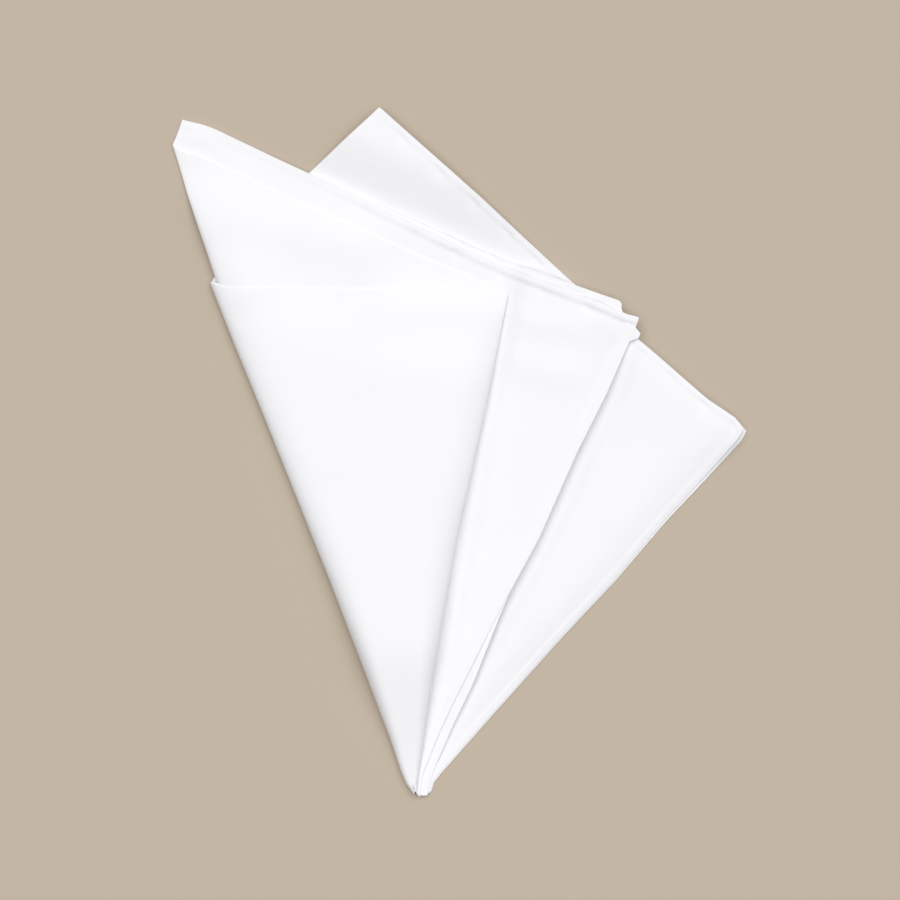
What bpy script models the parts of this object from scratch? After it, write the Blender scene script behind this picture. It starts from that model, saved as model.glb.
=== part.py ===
"""A plain white cotton pocket square, folded into a fan of uneven points and lying flat.

The square is folded in half, so that it is two plies thick, with one folded long side and one
open long side. The double ply is then pleated fan-wise about the middle of the open side, which
is the tip at the bottom:
    back   from the right edge, past the raised corner, to the left crease
    front  back across the top of the stack, to the crease at its right edge
    tuck   under the front, back to the left crease
    top    under the tuck, to the top edge; its far end shows right of the front
So there are eight layers, numbered from the surface up, and every layer reaches the tip. The
fold joins the two plies from the raised corner to the left corner. Both edges are open, and so
are the short sides: from the right edge to the raised corner, and from the left corner to the
top edge.

+X is to the right and +Y away from the tip. The underside lies in the plane z = 0, and the
origin is below the middle of the folded cloth.
"""

import math
from functools import cache

import bmesh
import bpy

MM = 0.001

# The cloth
SHEET = 1.0 * MM  # thickness of one layer
AIR = 0.3 * MM  # between two layers
PITCH = SHEET + AIR

# The tip, a blunt round end seen from above
TIP_X = -13.1 * MM
TIP_Y = -116.7 * MM
TIP_RADIUS = 3.6 * MM

# A fold is round where it is open, and pressed narrow where the creases meet at the tip
NARROW_AT_TIP = 0.25
OPEN_ABOVE_TIP = 35.0 * MM

# Where the cloth runs past the back panel's hem, it settles on to the surface
SETTLE_AFTER = 3.0 * MM
SETTLE_OVER = 44.0 * MM

# Lines seen from above: the foot's x on the tip, then the line's other points, x and y
OUTLINES = {
    "right_edge": dict(
        foot=-9.8, points=((9.7, -90.6), (33.7, -63.5), (59.1, -36.4), (97.1, 7.3))
    ),
    "right_edge_above": dict(
        foot=-10.2, points=((9.1, -90.6), (33.0, -63.5), (58.4, -36.4), (95.4, 7.3))
    ),
    "left": dict(
        foot=-16.5,
        points=((-25.6, -90.6), (-46.7, -36.4), (-68.4, 17.8), (-84.6, 58.0), (-99.4, 105.0)),
    ),
    "front_edge": dict(foot=-13.2, points=((-8.6, -71.3), (-1.6, -31.3), (16.4, 54.0))),
    "top_edge": dict(
        foot=-12.4,
        points=(
            (-6.3, -95.0),
            (-0.8, -83.9),
            (15.1, -52.0),
            (27.3, -29.6),
            (51.3, 19.8),
            (59.8, 41.5),
            (60.5, 45.6),
        ),
    ),
    "top_edge_below": dict(
        foot=-10.2,
        points=(
            (4.6, -78.1),
            (15.1, -52.0),
            (26.7, -29.6),
            (50.7, 19.8),
            (60.2, 38.8),
            (60.6, 45.6),
        ),
    ),
}

# Creases: half width over half height of the outermost bend, and the side on which the bend lies
CREASES = {
    "left": dict(round=0.8, side=-1),
    "front_edge": dict(round=1.3, side=1),
}

# Open edges: the outline of the first ply and of the second
EDGES = {
    "right_edge": ("right_edge", "right_edge_above"),
    "top_edge": ("top_edge", "top_edge_below"),
}

# Points of the hem between creases: the hem point, how far the second ply's hem stands off from
# it, and either the foot's x on the tip or the line beside which the cloth runs up to it
HEM_POINTS = {
    "back_middle": dict(foot=-12.0, beside=None, head=(47.6, 49.0), off=(0.0, 0.0)),
    "raised_corner": dict(foot=-13.4, beside=None, head=(-26.9, 116.7), off=(0.0, 0.0)),
    "left_corner": dict(foot=None, beside="left", head=(-94.0, 113.0), off=(0.0, 0.0)),
    "shoulder": dict(foot=None, beside="left", head=(-82.5, 109.3), off=(0.3, -0.3)),
    "hem_middle": dict(foot=-13.8, beside=None, head=(13.7, 63.5), off=(0.9, 1.8)),
    "hem_step": dict(foot=None, beside="top_edge", head=(54.2, 48.4), off=(0.4, 2.6)),
    "step_end": dict(foot=None, beside="top_edge", head=(55.4, 47.9), off=(0.0, 0.0)),
}
SPREAD_AT_TIP = 0.05  # the share of a point's distance from its line that is left at the tip

# The panels in the order in which the double ply runs through them: the layer of each ply, then
# the hem's stops, each a line with the height of its hem end, or a hem point, and after each
# stop but the last the number of steps to the next
BACK = dict(
    layers=(1, 2),
    stops=(("right_edge", 7.3), ("back_middle", None), ("raised_corner", None), ("left", 60.0)),
    steps=(4, 5, 7),
)
FRONT = dict(
    layers=(8, 7),
    stops=(("left", 57.0), ("front_edge", 54.0)),
    steps=(9,),
)
TUCK = dict(
    layers=(5, 6),
    stops=(("front_edge", 54.0), ("left", 105.0)),
    steps=(10,),
)
TOP = dict(
    layers=(4, 3),
    stops=(
        ("left", 105.0),
        ("left_corner", None),
        ("shoulder", None),
        ("hem_middle", None),
        ("hem_step", None),
        ("step_end", None),
        ("top_edge", 45.6),
    ),
    steps=(1, 1, 7, 3, 1, 1),
)
PANELS = (BACK, FRONT, TUCK, TOP)

# The folded long side: the hem points between which it joins the plies, and how far the fold
# reaches past them, as a share of the way from the tip
FOLD_FROM = "raised_corner"
FOLD_TO = "left_corner"
FOLD_REACH = 0.006

# Swells that lift the stack a little: the middle, how far they reach, and the share of height added
SWELLS = (
    dict(x=-34.0, y=12.0, reach=34.0, rise=0.14),
    dict(x=-14.0, y=-52.0, reach=24.0, rise=0.10),
    dict(x=30.0, y=22.0, reach=26.0, rise=0.12),
    dict(x=-52.0, y=66.0, reach=22.0, rise=0.08),
)

ROWS = 18  # sections from the tip to the hem
ROW_CROWDING = 1.2  # above 1, the sections crowd towards the tip
BEND_STEPS = 8
FOLD_STEPS = 4

# Depths through the double ply, from the first ply's outer face (0) to the second's (1)
SHEET_DEPTH = SHEET / (SHEET + PITCH)
SKIN_DEPTHS = (0.0, SHEET_DEPTH, 1.0 - SHEET_DEPTH, 1.0)

COTTON_WHITE = (0.9, 0.9, 0.92, 1.0)
COTTON_ROUGHNESS = 0.85
SHARP_ABOVE = math.radians(40.0)


def smooth(t):
    """Rises from 0 to 1 as t does, with level ends."""
    t = min(max(t, 0.0), 1.0)
    return t * t * (3.0 - 2.0 * t)


def between(a, b, t):
    """The point a share t of the way from a to b."""
    return tuple(p + (q - p) * t for p, q in zip(a, b))


def tip_y(x):
    """The y of the tip's round end at x."""
    sideways = min(abs(x - TIP_X), TIP_RADIUS)
    return TIP_Y + TIP_RADIUS - math.sqrt(TIP_RADIUS**2 - sideways**2)


@cache
def outline(name):
    """An outline from its foot on the tip to its far end."""
    foot = OUTLINES[name]["foot"] * MM
    return [(foot, tip_y(foot))] + [(x * MM, y * MM) for x, y in OUTLINES[name]["points"]]


def outline_x(name, y):
    """The x at height y of an outline, which rises from point to point."""
    points = outline(name)
    for (x0, y0), (x1, y1) in zip(points, points[1:]):
        if y <= y1:
            break
    return x0 + (x1 - x0) * (y - y0) / (y1 - y0)


@cache
def outward(name):
    """The level direction square to a crease, towards the side on which its bend lies."""
    side = CREASES[name]["side"]
    points = outline(name)
    along_x = points[-1][0] - points[0][0]
    along_y = points[-1][1] - points[0][1]
    length = math.hypot(along_x, along_y)
    return (side * along_y / length, -side * along_x / length)


def openness(y):
    """How round a fold is at height y."""
    return NARROW_AT_TIP + (1.0 - NARROW_AT_TIP) * smooth((y - TIP_Y) / OPEN_ABOVE_TIP)


@cache
def outermost_bend(name):
    """Half the height of the outermost bend at a crease."""
    layers = [
        layer
        for panel in PANELS
        for stop, _ in panel["stops"]
        if stop == name
        for layer in panel["layers"]
    ]
    return ((max(layers) - min(layers)) * PITCH + SHEET) / 2.0


def bend_line(name, y):
    """Where the bends at a crease begin, at height y: all of them lie round this one line."""
    out = outward(name)
    depth = outermost_bend(name) * CREASES[name]["round"] * openness(y)
    return (outline_x(name, y) - out[0] * depth, y - out[1] * depth)


def line_place(name, ply, y):
    """The place on a crease or an edge at height y: an edge has its own line in each ply."""
    if name in CREASES:
        return bend_line(name, y)
    first, second = EDGES[name]
    return between((outline_x(first, y), y), (outline_x(second, y), y), ply)


def foot_height(name, ply):
    """The y of a crease's or an edge's foot on the tip."""
    first, second = EDGES.get(name, (name, name))
    return outline(first)[0][1] * (1.0 - ply) + outline(second)[0][1] * ply


def line_climb(name, ply, end, share):
    """The place on a crease or an edge a share of the way from its foot up to an end's height."""
    foot = foot_height(name, ply)
    return line_place(name, ply, foot + (end - foot) * share)


def stop_place(stop, ply, share):
    """A hem stop's line from the tip (share 0) to the hem (share 1)."""
    name, end = stop
    if name not in HEM_POINTS:
        return line_climb(name, ply, end * MM, share)
    point = HEM_POINTS[name]
    head = tuple((a + ply * b) * MM for a, b in zip(point["head"], point["off"]))
    beside = point["beside"]
    if beside is None:
        foot = point["foot"] * MM
        return between((foot, tip_y(foot)), head, share)
    here = line_climb(beside, ply, head[1], share)
    there = line_place(beside, ply, head[1])
    spread = SPREAD_AT_TIP + (1.0 - SPREAD_AT_TIP) * share
    return (here[0] + (head[0] - there[0]) * spread, here[1] + (head[1] - there[1]) * spread)


def lift(x, y):
    """How much the swells raise the stack at a place, as a share of its height."""
    total = 0.0
    for swell in SWELLS:
        near = math.hypot(x / MM - swell["x"], y / MM - swell["y"]) / swell["reach"]
        total += swell["rise"] * math.exp(-near * near)
    return total


def settling(x, y):
    """How far the layers above the back panel sink at a place past its left hem."""
    hem_end = bend_line(BACK["stops"][-1][0], BACK["stops"][-1][1] * MM)
    corner = tuple(v * MM for v in HEM_POINTS[FOLD_FROM]["head"])
    along = (corner[0] - hem_end[0], corner[1] - hem_end[1])
    length = math.hypot(*along)
    past = ((y - hem_end[1]) * along[0] - (x - hem_end[0]) * along[1]) / length
    stack = len(BACK["layers"]) * PITCH * (1.0 + lift(x, y))
    return stack * smooth((past - SETTLE_AFTER) / SETTLE_OVER)


def settled(x, y, z):
    """A point of the stack after the cloth has settled."""
    return (x, y, z - settling(x, y))


def height(panel, depth, x, y):
    """The height at a depth through the double ply in a panel, before the cloth settles."""
    first, second = panel["layers"]
    pitch = PITCH * (1.0 + lift(x, y))
    away = SHEET / 2.0 if first > second else -SHEET / 2.0
    outer = SHEET / 2.0 + (first - 1) * pitch + away
    other = SHEET / 2.0 + (second - 1) * pitch - away
    return outer + (other - outer) * depth


def panel_place(column, ply, depth, share):
    """A point of a panel between two of its stops."""
    start = stop_place(column["first"], ply, share)
    end = stop_place(column["last"], ply, share)
    x, y = between(start, end, column["part"])
    return settled(x, y, height(column["panel"], depth, x, y))


def bend_place(column, ply, depth, share):
    """A point of the bend round a crease, which is half an ellipse about the crease's line."""
    name, end = column["first"]
    head = end + (column["last"][1] - end) * column["part"]
    x, y = line_climb(name, ply, head * MM, share)
    from_height = height(column["panel"], depth, x, y)
    to_height = height(column["following"], depth, x, y)
    half = (to_height - from_height) / 2.0
    turn = math.pi * column["part"]
    out = outward(name)
    reach = abs(half) * CREASES[name]["round"] * openness(y) * math.sin(turn)
    rise = half * (1.0 - math.cos(turn))
    return settled(x + out[0] * reach, y + out[1] * reach, from_height + rise)


def place(column, depth, share):
    """A point of the cloth: its column, its depth through the plies, its share of the way up."""
    ply = (depth - SHEET_DEPTH) / (1.0 - 2.0 * SHEET_DEPTH)
    ply = min(max(ply, 0.0), 1.0)
    if "following" in column:
        return bend_place(column, ply, depth, share)
    return panel_place(column, ply, depth, share)


def all_columns():
    """The cloth's lines from the tip to the hem, in order from the right edge to the top edge."""
    columns = []
    for panel, following in zip(PANELS, PANELS[1:] + (None,)):
        stops = panel["stops"]
        for first, last, steps in zip(stops, stops[1:], panel["steps"]):
            for step in range(steps):
                part = step / steps
                columns.append(dict(panel=panel, first=first, last=last, part=part))
        columns.append(dict(panel=panel, first=last, last=last, part=0.0))
        if following:
            bend = dict(panel=panel, following=following, first=last, last=following["stops"][0])
            columns += [dict(bend, part=step / BEND_STEPS) for step in range(1, BEND_STEPS)]
    return columns


def column_number(columns, name):
    """The number of the column that runs up to a hem point."""
    names = [column["first"][0] for column in columns]
    return names.index(name)


def row_shares():
    """The sections' places from tip to hem."""
    return [(row / (ROWS - 1)) ** ROW_CROWDING for row in range(ROWS)]


def join_rows(mesh, lower, upper):
    """Fills the strip between two rows of the same length with four-sided faces."""
    for here in range(len(lower) - 1):
        there = here + 1
        mesh.faces.new((lower[here], lower[there], upper[there], upper[here]))


def skin_rows(mesh, columns, reach, depth):
    """One skin of the double ply: a row of points at each section."""
    return [
        [mesh.verts.new(place(c, depth, share * end)) for c, end in zip(columns, reach)]
        for share in row_shares()
    ]


def fold_rows(mesh, columns, depth, first, last):
    """The rows round the fold, from one skin's last row to another's, at a depth in from both."""
    rows = [first]
    wide = 1.0 - 2.0 * depth
    for step in range(1, FOLD_STEPS):
        turn = math.pi * step / FOLD_STEPS
        share = 1.0 - FOLD_REACH + FOLD_REACH * wide * math.sin(turn)
        through = depth + wide * (1.0 - math.cos(turn)) / 2.0
        rows.append([mesh.verts.new(place(column, through, share)) for column in columns])
    return rows + [last]


def close_rim(mesh, outside, inside, fold_start, fold_end):
    """Joins the two skins of one ply at the tip, at both edges and at the open short sides."""
    join_rows(mesh, outside[0], inside[0])
    join_rows(mesh, outside[-1][: fold_start + 1], inside[-1][: fold_start + 1])
    join_rows(mesh, outside[-1][fold_end:], inside[-1][fold_end:])
    for edge in (0, -1):
        join_rows(mesh, [row[edge] for row in outside], [row[edge] for row in inside])


def folded_cloth():
    """The whole square as one closed mesh: both plies, the fold between them and the rim."""
    mesh = bmesh.new()
    columns = all_columns()
    start = column_number(columns, FOLD_FROM)
    end = column_number(columns, FOLD_TO)
    reach = [
        1.0 - FOLD_REACH if start <= number <= end else 1.0 for number in range(len(columns))
    ]
    skins = [skin_rows(mesh, columns, reach, depth) for depth in SKIN_DEPTHS]
    for rows in skins:
        for lower, upper in zip(rows, rows[1:]):
            join_rows(mesh, lower, upper)
    close_rim(mesh, skins[0], skins[1], start, end)
    close_rim(mesh, skins[3], skins[2], start, end)
    span = slice(start, end + 1)
    outer = fold_rows(mesh, columns[span], SKIN_DEPTHS[0], skins[0][-1][span], skins[3][-1][span])
    inner = fold_rows(mesh, columns[span], SKIN_DEPTHS[1], skins[1][-1][span], skins[2][-1][span])
    for rows in (outer, inner):
        for lower, upper in zip(rows, rows[1:]):
            join_rows(mesh, lower, upper)
    for edge in (0, -1):
        join_rows(mesh, [row[edge] for row in outer], [row[edge] for row in inner])
    bmesh.ops.recalc_face_normals(mesh, faces=mesh.faces)
    data = bpy.data.meshes.new("pocket_square")
    mesh.to_mesh(data)
    mesh.free()
    return data


def cotton():
    """Matt white woven cotton."""
    material = bpy.data.materials.new("white_cotton")
    material.use_nodes = True
    shader = material.node_tree.nodes["Principled BSDF"]
    shader.inputs["Base Color"].default_value = COTTON_WHITE
    shader.inputs["Roughness"].default_value = COTTON_ROUGHNESS
    shader.inputs["Metallic"].default_value = 0.0
    return material


def main():
    for old in list(bpy.data.objects):
        bpy.data.objects.remove(old)
    data = folded_cloth()
    data.shade_smooth()
    data.set_sharp_from_angle(angle=SHARP_ABOVE)
    data.materials.append(cotton())
    cloth = bpy.data.objects.new("pocket_square", data)
    bpy.context.scene.collection.objects.link(cloth)


main()
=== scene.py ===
"""A plain white cotton pocket square, folded in half, pleated into a fan and laid flat.

Plan places are in millimetres: +X to the right, +Y away from the fan's tip, with the origin
below the middle of the folded cloth. Heights are above the surface that it lies on.
"""

import math
from functools import cache

import bpy
import numpy as np
from bpy.props import FloatProperty, FloatVectorProperty, PointerProperty
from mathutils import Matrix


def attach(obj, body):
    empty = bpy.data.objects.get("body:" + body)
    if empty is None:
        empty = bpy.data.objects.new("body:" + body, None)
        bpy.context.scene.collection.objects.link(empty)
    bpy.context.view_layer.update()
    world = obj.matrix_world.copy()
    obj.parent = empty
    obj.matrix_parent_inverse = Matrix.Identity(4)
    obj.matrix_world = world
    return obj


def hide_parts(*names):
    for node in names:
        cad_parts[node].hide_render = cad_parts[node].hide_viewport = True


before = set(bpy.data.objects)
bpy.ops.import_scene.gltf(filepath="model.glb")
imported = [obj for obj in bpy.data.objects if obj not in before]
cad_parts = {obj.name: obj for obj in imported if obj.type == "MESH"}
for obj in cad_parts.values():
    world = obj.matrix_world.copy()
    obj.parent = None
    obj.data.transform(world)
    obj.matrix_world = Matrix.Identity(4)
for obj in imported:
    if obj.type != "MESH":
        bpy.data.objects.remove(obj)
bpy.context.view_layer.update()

bl_info = {
    "name": "Pocket Square",
    "version": (1, 0, 0),
    "blender": (4, 5, 0),
    "location": "View3D > Sidebar > Pocket Square",
    "description": "Folds a hemmed cotton square into a fan of panels and lights it from above",
    "category": "Add Mesh",
}

MM = 0.001
NODE = "pocket_square"

# The tip, a blunt round end seen from above
TIP_X = -13.0
TIP_Y = -116.7
TIP_RADIUS = 4.2

# Lines seen from above, from their feet on the tip upwards, x and y
LINES = {
    "right_edge": (
        (-9.4, -114.4),
        (-8.3, -111.0),
        (9.7, -90.6),
        (34.0, -63.5),
        (53.0, -43.2),
        (70.3, -22.9),
        (83.2, -9.3),
        (95.6, 4.2),
        (97.2, 7.3),
    ),
    "right_edge_above": (
        (-9.8, -114.6),
        (-8.8, -110.6),
        (9.2, -90.2),
        (33.5, -63.1),
        (52.4, -42.8),
        (69.6, -22.4),
        (82.3, -8.6),
        (93.8, 4.4),
        (96.0, 8.2),
    ),
    "left": (
        (-15.4, -115.7),
        (-18.8, -111.0),
        (-23.2, -97.4),
        (-33.4, -70.3),
        (-43.9, -43.2),
        (-54.7, -16.1),
        (-65.6, 11.0),
        (-76.7, 38.1),
        (-84.2, 57.1),
        (-88.9, 71.4),
        (-93.6, 85.5),
        (-97.8, 103.8),
        (-95.4, 113.0),
    ),
    "front_edge": (
        (-14.5, -115.5),
        (-14.1, -110.6),
        (-11.0, -88.6),
        (-8.3, -71.3),
        (-1.5, -31.3),
        (8.6, 14.7),
        (16.4, 54.0),
    ),
    "top_edge": (
        (-13.4, -116.5),
        (-12.9, -109.9),
        (-7.0, -95.0),
        (-1.8, -83.9),
        (7.7, -64.9),
        (14.3, -52.0),
        (26.5, -29.6),
        (39.9, 0.5),
        (49.6, 19.8),
        (56.1, 34.7),
        (59.2, 41.5),
        (60.5, 45.6),
    ),
    "top_edge_below": (
        (-10.9, -115.9),
        (-9.0, -107.9),
        (-1.9, -91.6),
        (4.6, -78.1),
        (13.7, -55.0),
        (24.0, -31.0),
        (36.6, -0.8),
        (46.2, 18.4),
        (55.0, 34.5),
        (57.3, 37.6),
        (60.4, 38.6),
        (61.0, 40.2),
    ),
}

# Open edges: the line of the first ply and of the second
EDGES = {
    "right_edge": ("right_edge", "right_edge_above"),
    "top_edge": ("top_edge", "top_edge_below"),
}

# Creases: the side on which the bend lies, the point of its line that gives its direction, how
# wide it is at the outermost layer from the tip upwards (y and width), how much narrower each
# sheet further in is, how low its widest point lies, and how straight its upper side falls (1 is
# round)
CREASES = {
    "left": dict(
        side=-1,
        last_point=-2,
        width=(
            (-116.7, 0.8),
            (-97.0, 3.6),
            (-50.0, 8.0),
            (0.0, 11.5),
            (30.0, 12.0),
            (57.0, 12.8),
            (85.0, 12.0),
            (97.0, 7.5),
            (104.0, 4.0),
            (113.0, 2.0),
        ),
        nesting=0.088,
        belly=0.30,
        fall=1.0,
    ),
    "front_edge": dict(
        side=1,
        last_point=-1,
        width=(
            (-116.7, 0.5),
            (-97.0, 3.0),
            (-50.0, 8.5),
            (0.0, 12.0),
            (30.0, 13.0),
            (54.0, 8.0),
        ),
        nesting=0.10,
        belly=0.24,
        fall=1.5,
    ),
}

# The panels in the order in which the double ply runs through them: the layer of each ply, the
# lines at their sides with the height of their hem ends, and the hem's points between in each ply
BACK = dict(
    layers=(1, 2),
    sides=("right_edge", "left"),
    ends=((7.3, 8.2), (63.2, 63.2)),
    hem=(
        ((93.7, 11.0), (84.2, 17.8), (68.9, 31.3), (37.4, 58.4), (8.0, 85.5), (-26.9, 116.4)),
        ((92.9, 11.9), (83.6, 18.1), (68.5, 31.2), (37.0, 58.2), (7.8, 85.2), (-26.9, 116.4)),
    ),
    past_fold=((-50.7, 94.7),),
    spacing=1.5,
)
FRONT = dict(
    layers=(8, 7),
    sides=("left", "front_edge"),
    ends=((50.9, 50.9), (52.8, 52.8)),
    hem=((), ()),
    past_fold=((-60.0, 55.5), (-30.0, 55.2), (-4.0, 54.6)),
    spacing=3.0,
)
TUCK = dict(
    layers=(5, 6),
    sides=("front_edge", "left"),
    ends=((55.6, 55.6), (98.5, 98.5)),
    hem=((), ()),
    past_fold=((2.5, 60.1), (-10.0, 64.8), (-50.7, 82.6)),
    spacing=3.0,
)
TOP = dict(
    layers=(4, 3),
    sides=("left", "top_edge"),
    ends=((111.8, 111.8), (45.6, 40.2)),
    hem=(
        (
            (-86.5, 110.9),
            (-82.5, 109.4),
            (-61.5, 99.3),
            (-50.7, 94.3),
            (13.7, 63.5),
            (34.1, 55.7),
            (48.3, 50.3),
            (56.4, 46.7),
        ),
        (
            (-86.3, 110.7),
            (-82.3, 109.1),
            (-61.3, 99.0),
            (-50.4, 94.1),
            (14.6, 65.2),
            (35.2, 57.9),
            (54.7, 51.0),
            (54.6, 48.0),
        ),
    ),
    past_fold=(),
    spacing=1.5,
)
PANELS = (BACK, FRONT, TUCK, TOP)

# The y of the folded side at the outermost point of the bend after a panel
BEND_TOPS = {("left", 0): 57.3, ("front_edge", 1): 53.9, ("left", 2): 104.2}
TOP_LAYER = 8
BACK_LAYERS = 2  # the lowest layers, which end at the back's folded edge
LOW_LAYERS = 4  # the back's and the top panel's
WAVES_FULL_FROM = 6  # the lowest layer with the whole rise of the waves
BEND_STEPS = 12  # faces round a crease
SHARP_FROM = math.radians(33.0)  # pressed folds are sharper than this, creases softer
END_ROUND = 1.6  # how full the round is in which a bend ends at the folded side
FOLD_STEPS = 3  # faces round the pressed fold of the long side
FOLD_REACH = 0.08  # how far that fold stands out
FOLD_LEAD = 3  # the rows below it that give its direction
FIRST_STEP = 0.5  # the first row or column from an open edge
STEP_GROWTH = 1.1  # and how much wider each one after it is
WIDEST_ROW = 3.8

# Soft troughs and ridges pressed into the stack: two ends, half width, rise, and the lowest and
# the highest layer that they reach
SOFT_FOLDS = (
    dict(start=(-76.0, 82.0), end=(-32.0, 70.0), wide=9.0, rise=1.6, layers=(3, 6)),
    dict(start=(-89.0, 107.0), end=(-85.0, 105.5), wide=2.8, rise=0.5, layers=(3, 4)),
    dict(start=(-26.0, 50.5), end=(8.0, 52.0), wide=6.5, rise=0.8, layers=(5, 8)),
    dict(start=(-22.0, 47.0), end=(6.0, 48.0), wide=6.5, rise=0.9, layers=(7, 8)),
    dict(start=(-80.0, 84.0), end=(-70.0, 56.0), wide=7.0, rise=1.1, layers=(5, 8)),
    dict(start=(4.0, 38.0), end=(2.0, 8.0), wide=4.5, rise=-0.25, layers=(7, 8)),
    dict(start=(-30.0, -94.0), end=(-20.0, -80.0), wide=7.0, rise=-0.3, layers=(7, 8)),
    dict(start=(24.0, 44.0), end=(46.0, 42.0), wide=6.0, rise=0.9, layers=(3, 4)),
    dict(start=(51.5, 36.0), end=(42.0, 13.0), wide=1.7, rise=-0.4, layers=(4, 4)),
    dict(start=(22.0, 30.0), end=(36.0, 27.0), wide=6.0, rise=1.0, layers=(3, 4)),
    dict(start=(2.0, -32.0), end=(10.0, -30.0), wide=4.0, rise=-0.25, layers=(3, 4)),
    dict(start=(64.0, 35.0), end=(92.0, 11.0), wide=14.0, rise=2.8, layers=(2, 2)),
    dict(start=(50.0, -22.0), end=(72.0, 2.0), wide=6.0, rise=0.25, layers=(2, 2)),
)

# Puckers of the hem's stitching, along the right-hand and the left-hand short side of the flat
# square: how far up from the open long side, and how deep
RIGHT_DIMPLES = (
    (4.0, 0.6),
    (16.8, 1.0),
    (31.3, 0.7),
    (91.8, 0.7),
    (104.3, 0.8),
    (120.0, 1.0),
    (135.6, 1.0),
    (152.5, 0.9),
)
LEFT_DIMPLES = ((17.4, 1.0), (33.0, 0.5), (47.7, 0.8), (64.0, 0.9), (79.0, 0.4), (97.5, 0.9))

# The hem's stiffness along the left-hand short side, in parts that all start at the open long
# side: where each ends, over how far it fades out before that, and how much it adds
HEM_STIFF = ((104.0, 30.0, 1.0), (55.0, 30.0, 0.45))
HEM_UNEVEN = ((0.22, 0.21, 0.0), (0.18, 0.47, 1.0))  # waves along it: height, rate and start
HEM_RIDGE = 0.40  # how far the stiff hem stands above the cloth inside it
HEM_PULL = 0.35  # how far it pulls that cloth up
HEM_PULL_OVER = 8.0
SLACK_HEM = 0.12  # the right-hand short side's share of both
LEAST_STIFF = 0.1  # and the least on the left-hand one
LONG_HEM_RIDGE = 0.1  # the ridge along the open long side
RIDGE_FADE = 1.1
RIDGE_FADE_START = 0.3  # how far outside the hem's inner edge the ridge begins to fade
BAND_FADE = 1.0
THIN_TIP = 9.0  # how far from the pinched tip the hem is squeezed thin
PUCKER_ALONG = 1.7
PUCKER_SLANT = 0.5
PUCKER_MIDDLE = 0.6  # how far inside the hem a pucker is deepest
PUCKER_INSIDE = 2.6  # how far it reaches into the cloth
PUCKER_ON_HEM = 1.1  # and over the hem

# Gentle waves over the whole stack: length, direction in degrees, start and height
WAVES = (
    dict(length=61.0, turn=24.0, start=0.7, rise=0.10),
    dict(length=43.0, turn=118.0, start=2.1, rise=0.09),
    dict(length=29.0, turn=71.0, start=4.0, rise=0.05),
    dict(length=19.0, turn=152.0, start=1.3, rise=0.03),
)

# The cotton's finish: how many uneven stretches of thread there are to a metre, along and across,
# the scale and detail of each noise, the tone of the darker and the lighter patches, and the
# strength and the height in metres of each kind of bump
SLUB_STRETCH = (60.0, 900.0, 1.0)
SLUB_NOISE = (1.0, 3.0)
PATCH_NOISE = (45.0, 3.0)
CRUMPLE_NOISE = (120.0, 4.0)
DARK_PATCH = 0.985
LIGHT_PATCH = 1.01
THREAD_BUMP = (0.25, 0.00003)
SLUB_BUMP = (0.25, 0.00012)
CRUMPLE_BUMP = (1.0, 0.0002)

# The camera and the lamps
LENS_MM = 150.0
SENSOR_MM = 36.0
FAR_END = 20.0  # how far the camera sees, in metres
VIEW_MIDDLE = (-0.00322, 0.00085)  # the point of the floor under the lens, in metres
LAMP_HEIGHT = 1.2


class ClothSizes(bpy.types.PropertyGroup):
    """The square's sizes and finish."""

    side: FloatProperty(
        name="Side",
        description="Side of the unfolded square",
        default=0.33,
        unit="LENGTH",
    )
    sheet: FloatProperty(
        name="Cloth thickness",
        description="Thickness of the single cloth",
        default=0.00015,
        unit="LENGTH",
    )
    hem_sheet: FloatProperty(
        name="Hem thickness",
        description="Thickness of the turned hem",
        default=0.00046,
        unit="LENGTH",
    )
    hem_width: FloatProperty(
        name="Hem width",
        description="Width of the turned hem",
        default=0.0021,
        unit="LENGTH",
    )
    pucker: FloatProperty(
        name="Pucker",
        description="Depth of the puckers of the hem's stitching",
        default=0.00045,
        unit="LENGTH",
    )
    puff: FloatProperty(
        name="Puff",
        description="How far the folds at the left and at the front's right edge stand open",
        default=0.0016,
        unit="LENGTH",
    )
    colour: FloatVectorProperty(
        name="Cotton",
        description="Colour of the cotton",
        default=(0.90, 0.897, 0.925),
        size=3,
        min=0.0,
        max=1.0,
        subtype="COLOR",
    )
    thread_pitch: FloatProperty(
        name="Thread pitch",
        description="Distance between two threads of the weave",
        default=0.00042,
        unit="LENGTH",
    )


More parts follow.
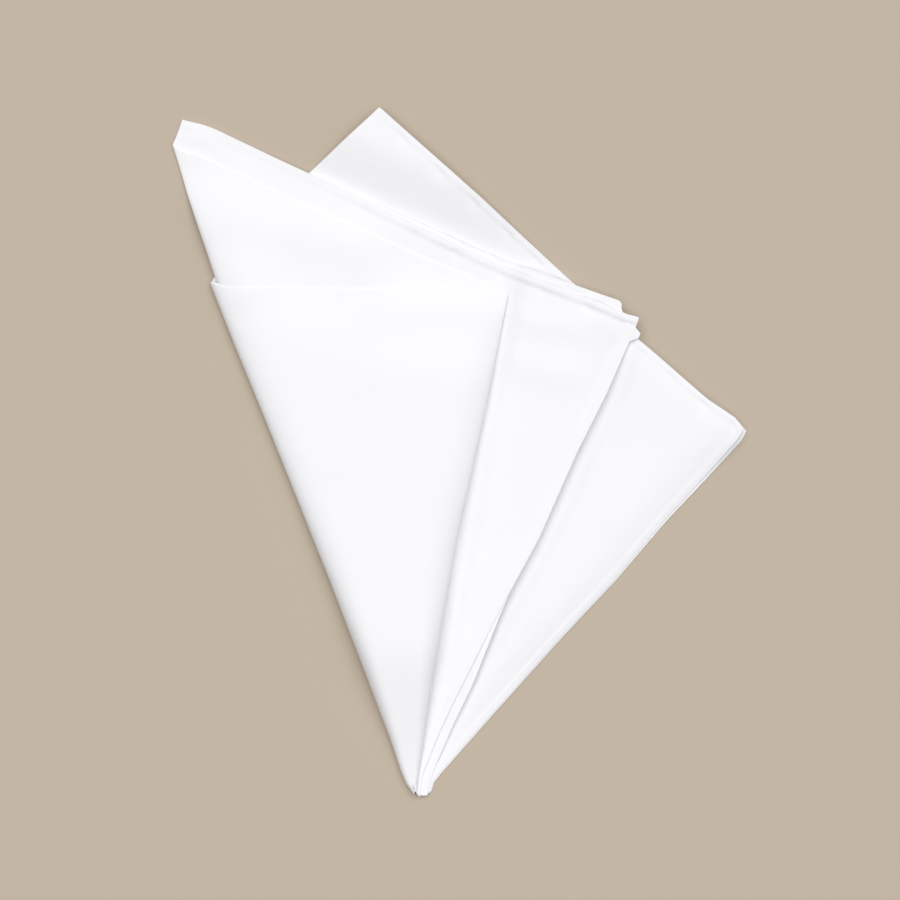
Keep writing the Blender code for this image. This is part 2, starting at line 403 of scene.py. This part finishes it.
class StageSizes(bpy.types.PropertyGroup):
    """The floor, the lights and the camera."""

    floor_colour: FloatVectorProperty(
        name="Floor",
        description="Colour of the plain floor",
        default=(0.509, 0.436, 0.350),
        size=3,
        min=0.0,
        max=1.0,
        subtype="COLOR",
    )
    floor_side: FloatProperty(
        name="Floor side",
        description="Side of the square floor",
        default=6.0,
        unit="LENGTH",
    )
    sky: FloatProperty(
        name="Sky",
        description="Strength of the even light from all round",
        default=0.17,
    )
    lamp: FloatProperty(
        name="Lamp",
        description="Strength of the wide soft lamp overhead",
        default=2.80,
    )
    side_lamp: FloatProperty(
        name="Side lamp",
        description="Strength of the weak soft lamp from the right",
        default=0.16,
    )
    side_lamp_lean: FloatProperty(
        name="Side lamp lean",
        description="How far the side lamp leans from straight above towards the right",
        default=math.radians(55.0),
        subtype="ANGLE",
    )
    side_lamp_angle: FloatProperty(
        name="Side lamp width",
        description="How wide the side lamp looks from the floor",
        default=math.radians(24.0),
        subtype="ANGLE",
    )
    lamp_angle: FloatProperty(
        name="Lamp width",
        description="How wide the lamp looks from the floor",
        default=math.radians(80.0),
        subtype="ANGLE",
    )
    lamp_lean: FloatProperty(
        name="Lamp lean",
        description="How far the lamp leans from straight above towards the far side",
        default=math.radians(15.0),
        subtype="ANGLE",
    )
    view_width: FloatProperty(
        name="View width",
        description="Width of the floor that the camera sees",
        default=0.30492,
        unit="LENGTH",
    )


def smooth(t):
    """Rises from 0 to 1 as t does, with level ends."""
    t = np.clip(t, 0.0, 1.0)
    return t * t * (3.0 - 2.0 * t)


def mix(a, b, t):
    return a + (b - a) * t


@cache
def line_points(name):
    """A line's points as columns x and y."""
    points = np.array(LINES[name])
    return points[:, 0], points[:, 1]


def line_x(name, y):
    """The x at height y of a line that rises from point to point, or runs on past its end."""
    xs, ys = line_points(name)
    return np.interp(y, ys, xs)


def foot_y(name):
    return line_points(name)[1][0]


def bend_width(name, y):
    """How far the outermost bend at a crease stands out from the line round which it bends."""
    ys, widths = np.array(CREASES[name]["width"]).T
    return np.interp(y, ys, widths)


@cache
def outward(name):
    """The level direction square to a crease, towards the side on which its bend lies."""
    xs, ys = line_points(name)
    side = CREASES[name]["side"]
    last = CREASES[name]["last_point"]
    along = np.array((xs[last] - xs[0], ys[last] - ys[0]))
    along /= np.hypot(*along)
    return side * along[1], -side * along[0]


def bend_line(name, y):
    """The line round which a crease bends."""
    out = outward(name)
    width = bend_width(name, y)
    return line_x(name, y) - out[0] * width, y - out[1] * width


def side_line(name, ply, end, share):
    """A panel's side from the tip to its hem end."""
    if name in CREASES:
        return bend_line(name, mix(foot_y(name), end, share))
    own = EDGES[name][ply]
    y = mix(foot_y(own), end, share)
    return line_x(own, y), y


def tip_line(x):
    """The y of the tip's round end at x."""
    sideways = np.clip(np.abs(x - TIP_X), 0.0, TIP_RADIUS)
    return TIP_Y + TIP_RADIUS - np.sqrt(TIP_RADIUS**2 - sideways**2)


def hem_line(panel, ply, start, end):
    """The points of a panel's upper rim in one ply, and how far along it each one lies."""
    inner = list(panel["hem"][ply]) + list(panel["past_fold"])
    points = np.array([start] + inner + [end])
    run = np.concatenate(([0.0], np.cumsum(np.hypot(*np.diff(points, axis=0).T))))
    return points, run


def graded(length, widest):
    """Distances from an open edge: fine steps at first, then up to the widest."""
    places = [0.0]
    step = FIRST_STEP
    while places[-1] < length:
        places.append(places[-1] + step)
        step = min(step * STEP_GROWTH, widest)
    return np.array(places) * length / places[-1]


@cache
def panel_columns(number):
    """A panel's columns as shares of its rim's length, and the one at the raised corner."""
    panel = PANELS[number]
    start = side_line(panel["sides"][0], 0, panel["ends"][0][0], 1.0)
    end = side_line(panel["sides"][1], 0, panel["ends"][1][0], 1.0)
    _, run = hem_line(panel, 0, start, end)
    corner = len(panel["hem"][0])
    fixed = [0.0, run[corner], run[-1]] if panel is BACK else [0.0, run[-1]]
    places = []
    corner_column = 0
    for index, (low, high) in enumerate(zip(fixed, fixed[1:])):
        if index == 1:
            corner_column = len(places)
        if index == 0 and panel["sides"][0] in EDGES:
            stretch = graded(high - low, panel["spacing"])
        elif index == len(fixed) - 2 and panel["sides"][1] in EDGES:
            stretch = (high - low) - graded(high - low, panel["spacing"])[::-1]
        else:
            stretch = np.linspace(0.0, high - low, int((high - low) / panel["spacing"]) + 2)
        places += list(low + stretch[:-1])
    return np.array(places + [run[-1]]) / run[-1], corner_column


def panel_plan(number, ply, share):
    """Plan places of a panel's columns at the rows' shares: arrays rows by columns.

    The panel is stretched between its two sides, its rim and the tip's round end.
    """
    panel = PANELS[number]
    columns, _ = panel_columns(number)
    across = columns[None, :]
    share = share[:, None]
    first, last = panel["sides"]
    first_end, last_end = (ends[ply] for ends in panel["ends"])
    side_a = side_line(first, ply, first_end, share)
    side_b = side_line(last, ply, last_end, share)
    foot_a = side_line(first, ply, first_end, 0.0)
    foot_b = side_line(last, ply, last_end, 0.0)
    rim_a = side_line(first, ply, first_end, 1.0)
    rim_b = side_line(last, ply, last_end, 1.0)
    points, run = hem_line(panel, ply, rim_a, rim_b)
    rim = [np.interp(columns, run / run[-1], points[:, axis])[None, :] for axis in (0, 1)]
    foot_x = mix(foot_a[0], foot_b[0], across)
    above_tip = mix(foot_a[1] - tip_line(foot_a[0]), foot_b[1] - tip_line(foot_b[0]), across)
    foot = (foot_x, tip_line(foot_x) + above_tip)
    plan = []
    for axis in (0, 1):
        straight_foot = mix(foot_a[axis], foot_b[axis], across)
        straight_rim = mix(rim_a[axis], rim_b[axis], across)
        between = mix(side_a[axis], side_b[axis], across) + mix(foot[axis], rim[axis], share)
        plan.append(between - mix(straight_foot, straight_rim, share))
    return plan


def distance_past(x, y, start, end):
    """How far a place lies to the left of the line from start to end."""
    along = np.array(end) - np.array(start)
    along = along / np.hypot(*along)
    return (y - start[1]) * along[0] - (x - start[0]) * along[1]


def near_stretch(x, y, start, end):
    """The distance of a place from the stretch between two points."""
    start = np.array(start)
    along = np.array(end) - start
    t = ((x - start[0]) * along[0] + (y - start[1]) * along[1]) / (along @ along)
    t = np.clip(t, 0.0, 1.0)
    return np.hypot(x - start[0] - along[0] * t, y - start[1] - along[1] * t)


# Straight lines near which the stack is lower or higher than elsewhere
BACK_FOLD = ((-82.5, 59.5), (-26.9, 116.7))
BACK_HEM = ((-26.9, 116.7), (97.2, 7.3))
FRONT_FOLD = ((-84.2, 57.1), (16.4, 54.0))
TUCK_FOLD = ((-96.4, 101.8), (16.4, 54.0))
TOP_HEM = ((-50.7, 94.7), (60.5, 45.6))
LEFT_FOLD = ((-18.8, -111.0), (-97.0, 104.0))
FRONT_EDGE = ((-14.1, -110.6), (16.4, 54.0))

FLOOR_GAP = 0.3  # the lowest sheet's middle above the surface
TIP_PITCH = 0.42  # from sheet to sheet at the tip
LOW_PITCH = 0.60  # in the four lower layers
HIGH_PITCH = 0.50  # in the four upper layers
FOLD_PITCH = 0.17  # at a folded edge
PRESSED_PITCH = 0.46  # where two hems are pressed on the surface
PRESSED_OVER = 16.0  # how far in from a folded edge the layers stay pressed
OPEN_OVER = 56.0  # how far above the tip the stack has opened
SETTLE_START = 1.0  # how far past the back's folded edge the layers above begin to sink
SETTLE_OVER = 34.0
RIGHT_LOFT = 2.3  # how far the back's second ply bulges beside its right edge
RIGHT_ROUND = 12.0  # how far in that bulge's round reaches
RIGHT_LOFT_AT_HEM = 0.3  # how far up its rise that bulge is at the hem
RIGHT_LOFT_OVER = 30.0  # the distance of the whole rise
DIP_WIDTH = 9.0  # how wide the dip beside the top panel's edge is
CORNER_LIFT = 5.0  # how far the raised corner stands off the surface
CORNER_START = 1.5  # how far inside the top panel's hem its rise begins
CORNER_OVER = 21.0
CORNER_END_X = 54.0  # and how far to the right it reaches
CORNER_END_OVER = 60.0
TOP_LOFT = 2.2  # how far the top panel bulges between the front's edge and its own
TOP_LOFT_START = 1.0  # how far under the front that begins
TOP_LOFT_OVER = 9.0
TOP_EDGE_LEAN = 0.9  # the share of a level distance that is square to the top panel's edge
RIGHT_EDGE_LEAN = 0.74  # and to the right edge

# How the two upper panels stand open: their layers, the crease and on which side of it they lie,
# the folded edge at their top, how wide they open in puffs, how far from the crease and over what
# distance that fades, the share that stays past it, and how far below the edge it is full
OPENINGS = (
    dict(
        layers=(5, 6),
        crease=LEFT_FOLD,
        side=-1,
        edge=TUCK_FOLD,
        puffs=1.7,
        fade_start=6.0,
        fade_over=80.0,
        stays=0.12,
        full_below=44.0,
    ),
    dict(
        layers=(7, 8),
        crease=FRONT_EDGE,
        side=1,
        edge=FRONT_FOLD,
        puffs=3.1,
        fade_start=4.0,
        fade_over=60.0,
        stays=0.1,
        full_below=30.0,
    ),
)


def open_above_tip(y):
    """How far the stack has opened at a height above the tip."""
    return smooth((y - TIP_Y) / OPEN_OVER)


def rounded(distance, reach):
    """Rises from 0 at an edge to 1, steepest at the edge."""
    t = np.clip(distance / reach, 0.0, 1.0)
    return 1.0 - (1.0 - t) ** 2


def inside_top_edge(x, y):
    """How far a place lies inside the top panel's right edge."""
    return TOP_EDGE_LEAN * (line_x("top_edge", y) - x)


def back_loft(x, y):
    """The bulge of the back's second ply between the top panel and its own right edge."""
    dip = smooth((inside_top_edge(x, y) + DIP_WIDTH) / DIP_WIDTH)
    loft = RIGHT_LOFT * (1.0 - dip) * open_above_tip(y)
    inside = rounded(RIGHT_EDGE_LEAN * (line_x("right_edge_above", y) - x), RIGHT_ROUND)
    past_hem = distance_past(x, y, *BACK_HEM)
    return loft * inside * smooth(RIGHT_LOFT_AT_HEM - past_hem / RIGHT_LOFT_OVER)


def corner_lift(x, y):
    """How far the raised corner, and the layers on it, stand off the surface."""
    from_top_hem = distance_past(x, y, *TOP_HEM)
    rise = smooth((from_top_hem + CORNER_START) / CORNER_OVER)
    return CORNER_LIFT * rise * smooth((CORNER_END_X - x) / CORNER_END_OVER)


def top_loft(x, y):
    """The bulge of the top panel to the right of the front's edge."""
    past_front = -distance_past(x, y, *FRONT_EDGE)
    return TOP_LOFT * smooth((past_front + TOP_LOFT_START) / TOP_LOFT_OVER)


def layer_height(layer, x, y, puff):
    """The height of the middle of a layer's sheet."""
    opened = open_above_tip(y)
    low_pitch = mix(TIP_PITCH, LOW_PITCH, opened)
    high_pitch = mix(TIP_PITCH, HIGH_PITCH, opened)
    height = FLOOR_GAP + (min(layer, LOW_LAYERS) - 1) * low_pitch + corner_lift(x, y)
    if layer > 1:
        height = height + back_loft(x, y)
    if layer > BACK_LAYERS:
        height = height + top_loft(x, y) * opened
    for opening in OPENINGS:
        lower, upper = opening["layers"]
        if layer < lower:
            continue
        inside = opening["side"] * distance_past(x, y, *opening["crease"])
        below = -distance_past(x, y, *opening["edge"])
        faded = smooth((inside - opening["fade_start"]) / opening["fade_over"])
        wide = opening["puffs"] * puff * mix(opening["stays"], 1.0, 1.0 - faded)
        height = height + wide * opened * smooth(below / opening["full_below"])
        pitch = mix(FOLD_PITCH, high_pitch, smooth(below / PRESSED_OVER))
        height = height + (min(layer, upper) - lower + 1) * pitch
    return height


def waves(x, y):
    """The rise of the gentle waves over the stack."""
    total = 0.0
    for wave in WAVES:
        turn = math.radians(wave["turn"])
        along = x * math.cos(turn) + y * math.sin(turn)
        angle = 2.0 * math.pi * along / wave["length"] + wave["start"]
        total = total + wave["rise"] * np.sin(angle)
    return total


def soft_folds(layer, x, y):
    """The rise of the soft troughs and ridges at a layer."""
    total = 0.0
    for fold in SOFT_FOLDS:
        lowest, highest = fold["layers"]
        if lowest <= layer <= highest:
            near = near_stretch(x, y, fold["start"], fold["end"]) / fold["wide"]
            total = total + fold["rise"] * np.exp(-near * near)
    return total


def settling(x, y):
    """How far the layers above the back panel's two sink past its folded edge."""
    past = distance_past(x, y, *BACK_FOLD)
    return BACK_LAYERS * LOW_PITCH * smooth((past - SETTLE_START) / SETTLE_OVER)


def sheet_height(layer, x, y, puff):
    """The height of a layer's sheet with its waves, troughs and settling, kept off the surface."""
    height = layer_height(layer, x, y, puff)
    share = min(layer, WAVES_FULL_FROM) / WAVES_FULL_FROM
    height = height + share * waves(x, y) * open_above_tip(y) + soft_folds(layer, x, y)
    if layer > BACK_LAYERS:
        height = height - settling(x, y)
        height = np.maximum(height, FLOOR_GAP + (layer - BACK_LAYERS - 1) * PRESSED_PITCH)
    return height


def bend_grid(number, ply, share, puff):
    """The columns round the crease after a panel: arrays of x, y and height."""
    panel, following = PANELS[number], PANELS[number + 1]
    name = panel["sides"][1]
    crease = CREASES[name]
    out = outward(name)
    top = BEND_TOPS[(name, number)]
    layers = (panel["layers"][ply], following["layers"][ply])
    side_ends = (panel["ends"][1][ply], following["ends"][0][ply])
    inward = TOP_LAYER - max(layers)
    xs, ys, zs = [], [], []
    for step in range(1, BEND_STEPS):
        turn = math.pi * step / BEND_STEPS
        side_end = side_ends[0] if turn < math.pi / 2 else side_ends[1]
        end = mix(side_end, top, math.sin(turn) ** END_ROUND)
        y0 = mix(foot_y(name), end, share)
        line = bend_line(name, y0)
        width = bend_width(name, y0) * (1.0 - crease["nesting"] * inward)
        reach = width * math.sin(turn)
        z_from, z_to = (sheet_height(layer, *line, puff) for layer in layers)
        belly = mix(np.minimum(z_from, z_to), np.maximum(z_from, z_to), crease["belly"])
        level = math.cos(turn)
        near = z_from if level > 0 else z_to
        fall = crease["fall"] if np.mean(near) > np.mean(belly) else 1.0
        xs.append(line[0] + out[0] * reach)
        ys.append(line[1] + out[1] * reach)
        zs.append(belly + (near - belly) * abs(level) ** fall)
    return tuple(np.array(v).T for v in (xs, ys, zs))


def ply_grid(ply, share, puff):
    """One ply's points: rows by columns by x, y and z, in millimetres."""
    blocks = []
    for number, panel in enumerate(PANELS):
        x, y = panel_plan(number, ply, share)
        blocks.append(np.stack((x, y, sheet_height(panel["layers"][ply], x, y, puff)), axis=-1))
        if number + 1 < len(PANELS):
            blocks.append(np.stack(bend_grid(number, ply, share, puff), axis=-1))
    return np.concatenate(blocks, axis=1)


def row_shares(half):
    """The rows from the tip to the hem: fine at the hem, then wider apart."""
    return 1.0 - graded(half, WIDEST_ROW)[::-1] / half


def fold_span():
    """The first and last column of the folded long side."""
    _, first = panel_columns(0)
    last = 0
    for number in range(len(PANELS) - 1):
        last += len(panel_columns(number)[0]) + BEND_STEPS - 1
    return first, last


def flat_places(head, span, side):
    """Each column's place on the flat square, from the first ply's rim: across and up."""
    run = np.concatenate(([0.0], np.cumsum(np.linalg.norm(np.diff(head, axis=0), axis=1))))
    first, last = span
    half = side / 2.0
    across = np.empty(len(head))
    up = np.empty(len(head))
    right = run[: first + 1] / run[first]
    across[: first + 1] = side
    up[: first + 1] = half * right
    middle = (run[first : last + 1] - run[first]) / (run[last] - run[first])
    across[first : last + 1] = side * (1.0 - middle)
    up[first : last + 1] = half
    left = (run[last:] - run[last]) / (run[-1] - run[last])
    across[last:] = 0.0
    up[last:] = half * (1.0 - left)
    return across, up


def hem_stiffness(up, left):
    """How stiff the hem of a short side is at a height above the open long side."""
    uneven = 1.0
    for height, rate, begin in HEM_UNEVEN:
        uneven = uneven + height * np.sin(up * rate + begin)
    stiff = 0.0
    for ends, fades_over, part in HEM_STIFF:
        stiff = stiff + part * smooth((ends - up) / fades_over)
    return np.where(left, mix(LEAST_STIFF, 1.0, stiff) * uneven, SLACK_HEM)


def hem_shape(across, up, side, sizes):
    """Two fields over the flat cloth: the hem's band, and its rise above the cloth inside it."""
    width = sizes.hem_width / MM
    short = np.minimum(across, side - across)
    band = 1.0 - smooth((np.minimum(short, up) - width + BAND_FADE / 2.0) / BAND_FADE)
    band = band * smooth(np.hypot(across - side / 2.0, up) / THIN_TIP)
    left = across < side / 2.0
    ridge = HEM_RIDGE * (1.0 - smooth((short - width + RIDGE_FADE_START) / RIDGE_FADE))
    ridge = ridge + HEM_PULL * (1.0 - smooth((short - width) / HEM_PULL_OVER))
    long_fade = smooth((up - width + RIDGE_FADE_START) / RIDGE_FADE)
    long_ridge = LONG_HEM_RIDGE * (1.0 - long_fade)
    rise = hem_stiffness(up, left) * ridge + long_ridge
    for on_side, dimples in ((~left, RIGHT_DIMPLES), (left, LEFT_DIMPLES)):
        for place, depth in dimples:
            along = (up - place + PUCKER_SLANT * (short - width)) / PUCKER_ALONG
            reach = np.where(short > width, PUCKER_INSIDE, PUCKER_ON_HEM)
            pull = (short - width - PUCKER_MIDDLE) / reach
            dimple = np.exp(-(along**2) - pull**2)
            rise = rise - np.where(on_side, sizes.pucker / MM * depth * dimple, 0.0)
    return band, rise


def cloth_places(sizes):
    """The points of both plies and of the fold between them, their flat places and hem band."""
    side = sizes.side / MM
    puff = sizes.puff / MM
    share = row_shares(side / 2.0)
    span = fold_span()
    first, last = span
    grids = [ply_grid(ply, share, puff) for ply in (0, 1)]
    columns = grids[0].shape[1]
    across_head, up_head = flat_places(grids[0][-1], span, side)
    across = mix(side / 2.0, across_head[None, :], share[:, None])
    up = up_head[None, :] * share[:, None]
    band, rise = hem_shape(across, up, side, sizes)
    on_floor = np.arange(columns) < len(panel_columns(0)[0])  # the back's first ply lies flat
    grids[0][:, :, 2] += np.where(on_floor, 0.0, rise)
    grids[1][:, :, 2] += rise
    fold = slice(first, last + 1)
    ends = []
    for grid in grids:
        along = grid[-1, fold] - grid[-1 - FOLD_LEAD, fold]
        along /= np.linalg.norm(along, axis=1)[:, None]
        ends.append((grid[-1, fold], along))
    fold_rows = []
    for step in range(1, FOLD_STEPS):
        turn = math.pi * step / FOLD_STEPS
        through = (1.0 - math.cos(turn)) / 2.0  # from the first ply to the second
        here = mix(ends[0][0], ends[1][0], through)
        direction = mix(ends[0][1], ends[1][1], through)
        fold_rows.append(here + direction * FOLD_REACH * math.sin(turn))
    return grids, np.array(fold_rows), across, up, band, span


def faces_between(lower, upper):
    """Four-sided faces between two rows of point numbers."""
    return np.stack((lower[:-1], lower[1:], upper[1:], upper[:-1]), axis=-1).reshape(-1, 4)


def build_cloth(sizes):
    """The cloth as one sheet, with its hem band as a vertex group and its flat places as UV."""
    grids, fold_rows, across, up, band, span = cloth_places(sizes)
    rows, columns = grids[0].shape[:2]
    first, last = span
    wide = last - first + 1
    side = sizes.side / MM
    points = np.concatenate([g.reshape(-1, 3) for g in grids] + [fold_rows.reshape(-1, 3)]) * MM
    ply_size = rows * columns
    numbers = [np.arange(ply_size).reshape(rows, columns) + ply * ply_size for ply in (0, 1)]
    fold_numbers = np.arange(len(fold_rows) * wide).reshape(-1, wide) + 2 * ply_size
    fold_size = fold_numbers.size
    faces = []
    for ply in (0, 1):
        order = numbers[ply] if ply == 0 else numbers[ply][:, ::-1]
        faces += [faces_between(order[r], order[r + 1]) for r in range(rows - 1)]
    bridge = [numbers[0][-1, first : last + 1], *fold_numbers, numbers[1][-1, first : last + 1]]
    faces += [faces_between(a, b) for a, b in zip(bridge, bridge[1:])]
    faces = np.concatenate(faces)
    fold_across = np.tile(across[-1, first : last + 1], len(fold_rows))
    flat_up = [up.ravel(), (side - up).ravel(), np.full(fold_size, side / 2.0)]
    flat_across = [across.ravel(), across.ravel(), fold_across]
    flat = np.stack((np.concatenate(flat_across), np.concatenate(flat_up)), axis=-1) * MM
    data = bpy.data.meshes.new("folded_cotton")
    data.from_pydata(points.tolist(), [], faces.tolist())
    layer = data.uv_layers.new(name="flat_cloth")
    layer.data.foreach_set("uv", flat[faces.ravel()].ravel())
    data.update()
    cloth = bpy.data.objects.new("folded_cotton", data)
    bpy.context.scene.collection.objects.link(cloth)
    hem = cloth.vertex_groups.new(name="hem")
    weights = np.concatenate([band.ravel(), band.ravel(), np.zeros(fold_size)])
    weights = np.round(weights, 2)
    for weight in np.unique(weights):
        hem.add(np.flatnonzero(weights == weight).tolist(), float(weight), "REPLACE")
    return cloth


def apply_modifier(piece, modifier):
    bpy.ops.object.select_all(action="DESELECT")
    piece.select_set(True)
    bpy.context.view_layer.objects.active = piece
    bpy.ops.object.modifier_apply(modifier=modifier.name)


def thicken(cloth, sizes):
    """Gives the sheet its thickness, which is greater along the hem."""
    solid = cloth.modifiers.new("thickness", "SOLIDIFY")
    solid.thickness = sizes.hem_sheet
    solid.offset = 0.0
    solid.vertex_group = "hem"
    solid.thickness_vertex_group = sizes.sheet / sizes.hem_sheet
    solid.use_even_offset = False
    apply_modifier(cloth, solid)
    cloth.vertex_groups.clear()
    cloth.data.shade_smooth()
    cloth.data.set_sharp_from_angle(angle=SHARP_FROM)


def noise(tree, place, scale, detail):
    """A noise texture over a place, as its output socket."""
    node = tree.nodes.new("ShaderNodeTexNoise")
    node.inputs["Scale"].default_value = scale
    node.inputs["Detail"].default_value = detail
    tree.links.new(place, node.inputs["Vector"])
    return node.outputs["Fac"]


def weave_group():
    """Plain weave and its uneven threads, from places on the flat cloth in metres."""
    group = bpy.data.node_groups.new("plain_weave", "ShaderNodeTree")
    face = group.interface
    face.new_socket("Place", in_out="INPUT", socket_type="NodeSocketVector")
    face.new_socket("Thread pitch", in_out="INPUT", socket_type="NodeSocketFloat")
    face.new_socket("Height", in_out="OUTPUT", socket_type="NodeSocketFloat")
    face.new_socket("Slub", in_out="OUTPUT", socket_type="NodeSocketFloat")
    nodes, links = group.nodes, group.links
    start = nodes.new("NodeGroupInput")
    end = nodes.new("NodeGroupOutput")

    def maths(operation, a, b=None):
        node = nodes.new("ShaderNodeMath")
        node.operation = operation
        for socket, value in zip(node.inputs, (a, b)):
            if value is None:
                continue
            if isinstance(value, (int, float)):
                socket.default_value = value
            else:
                links.new(value, socket)
        return node.outputs[0]

    split = nodes.new("ShaderNodeSeparateXYZ")
    links.new(start.outputs["Place"], split.inputs[0])
    turns = maths("DIVIDE", math.pi, start.outputs["Thread pitch"])
    warp = maths("SINE", maths("MULTIPLY", split.outputs["X"], turns))
    weft = maths("SINE", maths("MULTIPLY", split.outputs["Y"], turns))
    crossing = maths("MULTIPLY", warp, weft)
    links.new(maths("ABSOLUTE", crossing), end.inputs["Height"])
    stretch = nodes.new("ShaderNodeVectorMath")
    stretch.operation = "MULTIPLY"
    stretch.inputs[1].default_value = SLUB_STRETCH
    links.new(start.outputs["Place"], stretch.inputs[0])
    links.new(noise(group, stretch.outputs[0], *SLUB_NOISE), end.inputs["Slub"])
    return group


def cotton_material(sizes):
    """Matt white plain-weave cotton: fine threads, slubs and a little unevenness of tone."""
    material = bpy.data.materials.new("white_cotton")
    material.use_nodes = True
    tree = material.node_tree
    nodes, links = tree.nodes, tree.links
    shader = nodes["Principled BSDF"]
    shader.inputs["Roughness"].default_value = 0.92
    shader.inputs["Specular IOR Level"].default_value = 0.25
    shader.inputs["Sheen Weight"].default_value = 0.03
    shader.inputs["Sheen Roughness"].default_value = 0.6
    uv = nodes.new("ShaderNodeUVMap")
    uv.uv_map = "flat_cloth"
    weave = nodes.new("ShaderNodeGroup")
    weave.node_tree = weave_group()
    weave.inputs["Thread pitch"].default_value = sizes.thread_pitch
    place = uv.outputs["UV"]
    links.new(place, weave.inputs["Place"])
    tone = nodes.new("ShaderNodeMix")
    tone.data_type = "RGBA"
    tone.blend_type = "MIX"
    colour = tuple(sizes.colour)
    for name, share in (("A", DARK_PATCH), ("B", LIGHT_PATCH)):
        tone.inputs[name].default_value = tuple(min(1.0, share * c) for c in colour) + (1.0,)
    links.new(noise(tree, place, *PATCH_NOISE), tone.inputs["Factor"])
    links.new(tone.outputs["Result"], shader.inputs["Base Color"])
    bumps = (
        (weave.outputs["Height"], THREAD_BUMP),
        (weave.outputs["Slub"], SLUB_BUMP),
        (noise(tree, place, *CRUMPLE_NOISE), CRUMPLE_BUMP),
    )
    normal = None
    for height, (strength, distance) in bumps:
        bump = nodes.new("ShaderNodeBump")
        bump.inputs["Strength"].default_value = strength
        bump.inputs["Distance"].default_value = distance
        links.new(height, bump.inputs["Height"])
        if normal is not None:
            links.new(normal, bump.inputs["Normal"])
        normal = bump.outputs["Normal"]
    links.new(normal, shader.inputs["Normal"])
    return material


def floor_material(sizes):
    """A plain matt floor."""
    material = bpy.data.materials.new("plain_floor")
    material.use_nodes = True
    shader = material.node_tree.nodes["Principled BSDF"]
    shader.inputs["Base Color"].default_value = tuple(sizes.floor_colour) + (1.0,)
    shader.inputs["Roughness"].default_value = 0.95
    shader.inputs["Specular IOR Level"].default_value = 0.1
    return material


class OBJECT_OT_add_folded_cotton(bpy.types.Operator):
    """Adds the folded cotton square in place of the plain solid"""

    bl_idname = "object.add_folded_cotton"
    bl_label = "Add Folded Cotton"

    def execute(self, context):
        sizes = context.scene.cloth_sizes
        cloth = build_cloth(sizes)
        thicken(cloth, sizes)
        cloth.data.materials.append(cotton_material(sizes))
        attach(cloth, "root")
        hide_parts(NODE)
        return {"FINISHED"}


class OBJECT_OT_add_cloth_stage(bpy.types.Operator):
    """Adds the plain floor, the soft lights and the camera straight above"""

    bl_idname = "object.add_cloth_stage"
    bl_label = "Add Cloth Stage"

    def execute(self, context):
        sizes = context.scene.stage_sizes
        bpy.ops.object.select_all(action="DESELECT")
        bpy.ops.mesh.primitive_plane_add(size=sizes.floor_side)
        floor = context.active_object
        floor.name = "floor"
        floor.data.materials.append(floor_material(sizes))
        add_lights(sizes)
        add_camera(context.scene, sizes)
        return {"FINISHED"}


def add_lights(sizes):
    """Even light all round, a wide lamp above and beyond the cloth, and a weak one at the right."""
    world = bpy.data.worlds.new("even_sky")
    world.use_nodes = True
    sky = world.node_tree.nodes["Background"]
    sky.inputs["Color"].default_value = (1.0, 1.0, 1.0, 1.0)
    sky.inputs["Strength"].default_value = sizes.sky
    bpy.context.scene.world = world
    lamps = (
        ("wide_lamp", sizes.lamp, sizes.lamp_angle, (-sizes.lamp_lean, 0.0, 0.0)),
        ("side_lamp", sizes.side_lamp, sizes.side_lamp_angle, (0.0, sizes.side_lamp_lean, 0.0)),
    )
    for name, strength, width, turn in lamps:
        lamp = bpy.data.lights.new(name, "SUN")
        lamp.energy = strength
        lamp.angle = width
        holder = bpy.data.objects.new(name, lamp)
        holder.location = (0.0, 0.0, LAMP_HEIGHT)
        holder.rotation_euler = turn
        bpy.context.scene.collection.objects.link(holder)
    bpy.context.scene.view_settings.view_transform = "Standard"


def add_camera(scene, sizes):
    """A long lens that looks straight down on the cloth."""
    lens = bpy.data.cameras.new("above")
    lens.lens = LENS_MM
    lens.sensor_width = SENSOR_MM
    lens.clip_end = FAR_END
    holder = bpy.data.objects.new("above", lens)
    height = sizes.view_width * lens.lens / lens.sensor_width
    holder.location = (*VIEW_MIDDLE, height)
    scene.collection.objects.link(holder)
    scene.camera = holder


class VIEW3D_PT_pocket_square(bpy.types.Panel):
    """Lists the sizes of the cloth and its stage, and the operators that add them"""

    bl_idname = "VIEW3D_PT_pocket_square"
    bl_label = "Pocket Square"
    bl_space_type = "VIEW_3D"
    bl_region_type = "UI"
    bl_category = "Pocket Square"

    def draw(self, context):
        layout = self.layout
        for group in (context.scene.cloth_sizes, context.scene.stage_sizes):
            for name in group.__annotations__:
                layout.prop(group, name)
        for operator in (OBJECT_OT_add_folded_cotton, OBJECT_OT_add_cloth_stage):
            layout.operator(operator.bl_idname)


CLASSES = (
    ClothSizes,
    StageSizes,
    OBJECT_OT_add_folded_cotton,
    OBJECT_OT_add_cloth_stage,
    VIEW3D_PT_pocket_square,
)


def register():
    for cls in CLASSES:
        bpy.utils.register_class(cls)
    bpy.types.Scene.cloth_sizes = PointerProperty(type=ClothSizes)
    bpy.types.Scene.stage_sizes = PointerProperty(type=StageSizes)


def unregister():
    del bpy.types.Scene.stage_sizes
    del bpy.types.Scene.cloth_sizes
    for cls in reversed(CLASSES):
        bpy.utils.unregister_class(cls)


def main():
    register()
    bpy.ops.object.add_folded_cotton()
    bpy.ops.object.add_cloth_stage()


if __name__ == "__main__":
    main()
